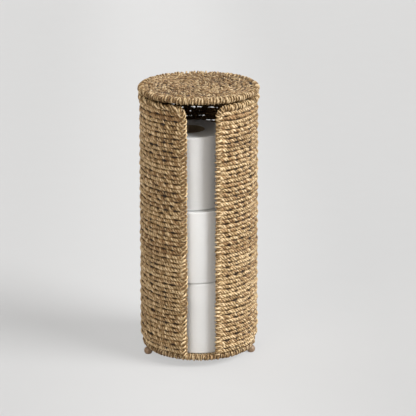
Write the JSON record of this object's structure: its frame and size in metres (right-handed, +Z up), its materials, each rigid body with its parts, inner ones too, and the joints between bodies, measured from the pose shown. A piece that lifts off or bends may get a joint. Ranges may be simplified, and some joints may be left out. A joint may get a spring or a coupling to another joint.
{
  "type": "toilet paper stand",
  "caption": "Woven seagrass tower on a wire frame with a hinged lid, ball feet and an open front slot, holding a stack of spare toilet rolls.",
  "frame": {"origin": "on the floor under the tower's axis", "axes": "+Z up, the open slot faces -Y"},
  "size_m": [0.1648, 0.1661, 0.3809],
  "materials": {
    "seagrass": "natural twisted seagrass cord",
    "dark_steel": "dark coated wire",
    "foot_wood": "smooth stained ball",
    "paper": "soft white tissue",
    "card": "plain grey-brown card"
  },
  "bodies": {
    "tower": {"rim_wire": "dark_steel", "base_ring_wire": "dark_steel", "stake_01": "dark_steel", "stake_02": "dark_steel", "stake_03": "dark_steel", "stake_04": "dark_steel", "stake_05": "dark_steel", "stake_06": "dark_steel", "stake_07": "dark_steel", "stake_08": "dark_steel", "stake_09": "dark_steel", "stake_10": "dark_steel", "stake_11": "dark_steel", "stake_12": "dark_steel", "stake_13": "dark_steel", "stake_14": "dark_steel", "stake_15": "dark_steel", "base_spokes": "dark_steel", "wall_weave": "seagrass", "rim_binding_left": "seagrass", "rim_binding_right": "seagrass", "rim_binding_back": "seagrass", "slot_binding_left": "seagrass", "slot_binding_right": "seagrass", "base_binding": "seagrass", "base_weave": "seagrass", "foot_front_left": "foot_wood", "foot_front_right": "foot_wood", "foot_back_left": "foot_wood", "foot_back_right": "foot_wood", "foot_pin_front_left": "dark_steel", "foot_pin_front_right": "dark_steel", "foot_pin_back_left": "dark_steel", "foot_pin_back_right": "dark_steel"},
    "lid": {"lid_ring_wire": "dark_steel", "lid_spokes": "dark_steel", "lid_weave": "seagrass", "lid_binding": "seagrass", "lid_binding_back": "seagrass", "hinge_loop_left": "seagrass", "hinge_loop_right": "seagrass"},
    "roll_lower": {"paper_roll_lower": "paper", "roll_core_lower": "card"},
    "roll_middle": {"paper_roll_middle": "paper", "roll_core_middle": "card"},
    "roll_upper": {"paper_roll_upper": "paper", "roll_core_upper": "card"}
  },
  "joints": [
    {"name": "lid_hinge", "type": "hinge", "parent": "tower", "child": "lid", "pos_m": [0, 0.0775, 0.3653], "axis": [-1, 0, 0], "range_deg": [0, 100]},
    {"name": "roll_lower_lift", "type": "slide", "parent": "tower", "child": "roll_lower", "axis": [0, 0, 1], "range_m": [0, 0.015]},
    {"name": "roll_middle_lift", "type": "slide", "parent": "roll_lower", "child": "roll_middle", "axis": [0, 0, 1], "range_m": [0, 0.015]},
    {"name": "roll_upper_lift", "type": "slide", "parent": "roll_middle", "child": "roll_upper", "axis": [0, 0, 1], "range_m": [0, 0.015]}
  ]
}
